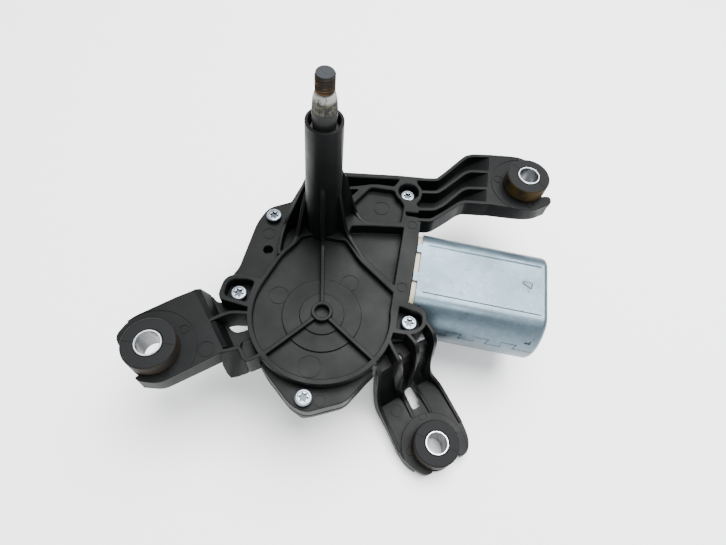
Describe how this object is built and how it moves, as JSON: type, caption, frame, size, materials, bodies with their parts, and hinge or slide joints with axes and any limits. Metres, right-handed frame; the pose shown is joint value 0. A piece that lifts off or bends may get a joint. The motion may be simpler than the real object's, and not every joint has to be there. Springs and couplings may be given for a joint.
{
  "type": "wiper motor",
  "caption": "Rear wiper motor with worm gearbox, output tower with threaded spindle, and ribbed arms on rubber mounts.",
  "frame": {"origin": "centre of the flat end face of the threaded output shaft", "axes": "+Z out along the output shaft towards the wiper arm, +X from the gearbox along the motor, +Y towards the housing's straight top edge"},
  "size_m": [0.1965, 0.1764, 0.152],
  "materials": {
    "black_plastic": "moulded glass-filled nylon, satin",
    "grommet_rubber": "matte, browned sides",
    "seal_rubber": "matte",
    "zinc_steel": "zinc coated, mottled",
    "bright_steel": "bright zinc",
    "dark_steel": "blackened, oiled",
    "screw_steel": "zinc plated",
    "worn_steel": "weathered, rust in the thread",
    "sintered_bronze": "porous sintered",
    "sintered_steel": "sintered, oiled",
    "white_plastic": "natural acetal",
    "brass": "tinned brass",
    "copper": "enamelled copper",
    "lamination": "stacked electrical steel",
    "ferrite": "sintered ferrite, matte",
    "carbon": "graphite"
  },
  "bodies": {
    "gearbox": {"housing": "black_plastic", "gear_case": "black_plastic", "case_gasket": "seal_rubber", "lower_bush": "sintered_bronze", "upper_bush": "sintered_bronze", "shaft_seal": "seal_rubber", "wheel_stud": "bright_steel", "park_contact_1": "brass", "park_contact_2": "brass", "front_bush": "sintered_bronze", "rear_bush": "sintered_bronze", "thrust_pad": "white_plastic", "motor_can": "zinc_steel", "brush_plate": "white_plastic", "magnet_1": "ferrite", "magnet_2": "ferrite", "brush_1": "carbon", "brush_2": "carbon", "brush_spring_1": "bright_steel", "brush_spring_2": "bright_steel", "choke_1": "ferrite", "choke_2": "ferrite", "case_screw_1": "screw_steel", "case_screw_2": "screw_steel", "case_screw_3": "screw_steel", "case_screw_4": "screw_steel", "case_screw_5": "screw_steel", "terminal_1": "brass", "terminal_2": "brass", "terminal_3": "brass", "terminal_4": "brass", "grommet_left": "grommet_rubber", "sleeve_left": "bright_steel", "grommet_right": "grommet_rubber", "sleeve_right": "bright_steel", "grommet_front": "grommet_rubber", "sleeve_front": "bright_steel"},
    "output": {"output_shaft": "worn_steel", "output_pinion": "sintered_steel", "shaft_circlip": "dark_steel", "shaft_washer": "dark_steel", "thrust_washer": "dark_steel"},
    "swing_link": {"swing_arm": "bright_steel", "sector_pin": "bright_steel"},
    "drive_rod": {"toothed_rod": "sintered_steel", "crank_pin": "bright_steel"},
    "armature": {"armature_shaft": "bright_steel", "armature_core": "lamination", "windings": "copper", "commutator": "copper"},
    "wheel": {"worm_wheel": "white_plastic", "park_disc": "brass"}
  },
  "joints": [
    {"name": "output_sweep", "type": "hinge", "parent": "gearbox", "child": "output", "pos_m": [0, 0, -0.05], "axis": [0, 0, 1], "range_deg": [-55, 55]},
    {"name": "swing_arm_turn", "type": "hinge", "parent": "gearbox", "child": "swing_link", "pos_m": [0, 0, -0.105], "axis": [0, 0, 1], "range_deg": [-28, 28]},
    {"name": "toothed_rod_turn", "type": "hinge", "parent": "swing_link", "child": "drive_rod", "pos_m": [-0.01387, -0.00798, -0.108], "axis": [0, 0, 1], "range_deg": [-28, 28]},
    {"name": "armature_spin", "type": "hinge", "parent": "gearbox", "child": "armature", "pos_m": [0.06, -0.015, -0.1145], "axis": [1, 0, 0], "continuous": true},
    {"name": "worm_wheel_spin", "type": "hinge", "parent": "gearbox", "child": "wheel", "pos_m": [0.0107, -0.0507, -0.1145], "axis": [0, 0, 1], "continuous": true}
  ],
  "couplings": [
    {"joint": "swing_arm_turn", "follows": "output_sweep", "ratio": 0.5},
    {"joint": "toothed_rod_turn", "follows": "output_sweep", "ratio": -0.5},
    {"joint": "worm_wheel_spin", "follows": "armature_spin", "ratio": 0.020833}
  ]
}
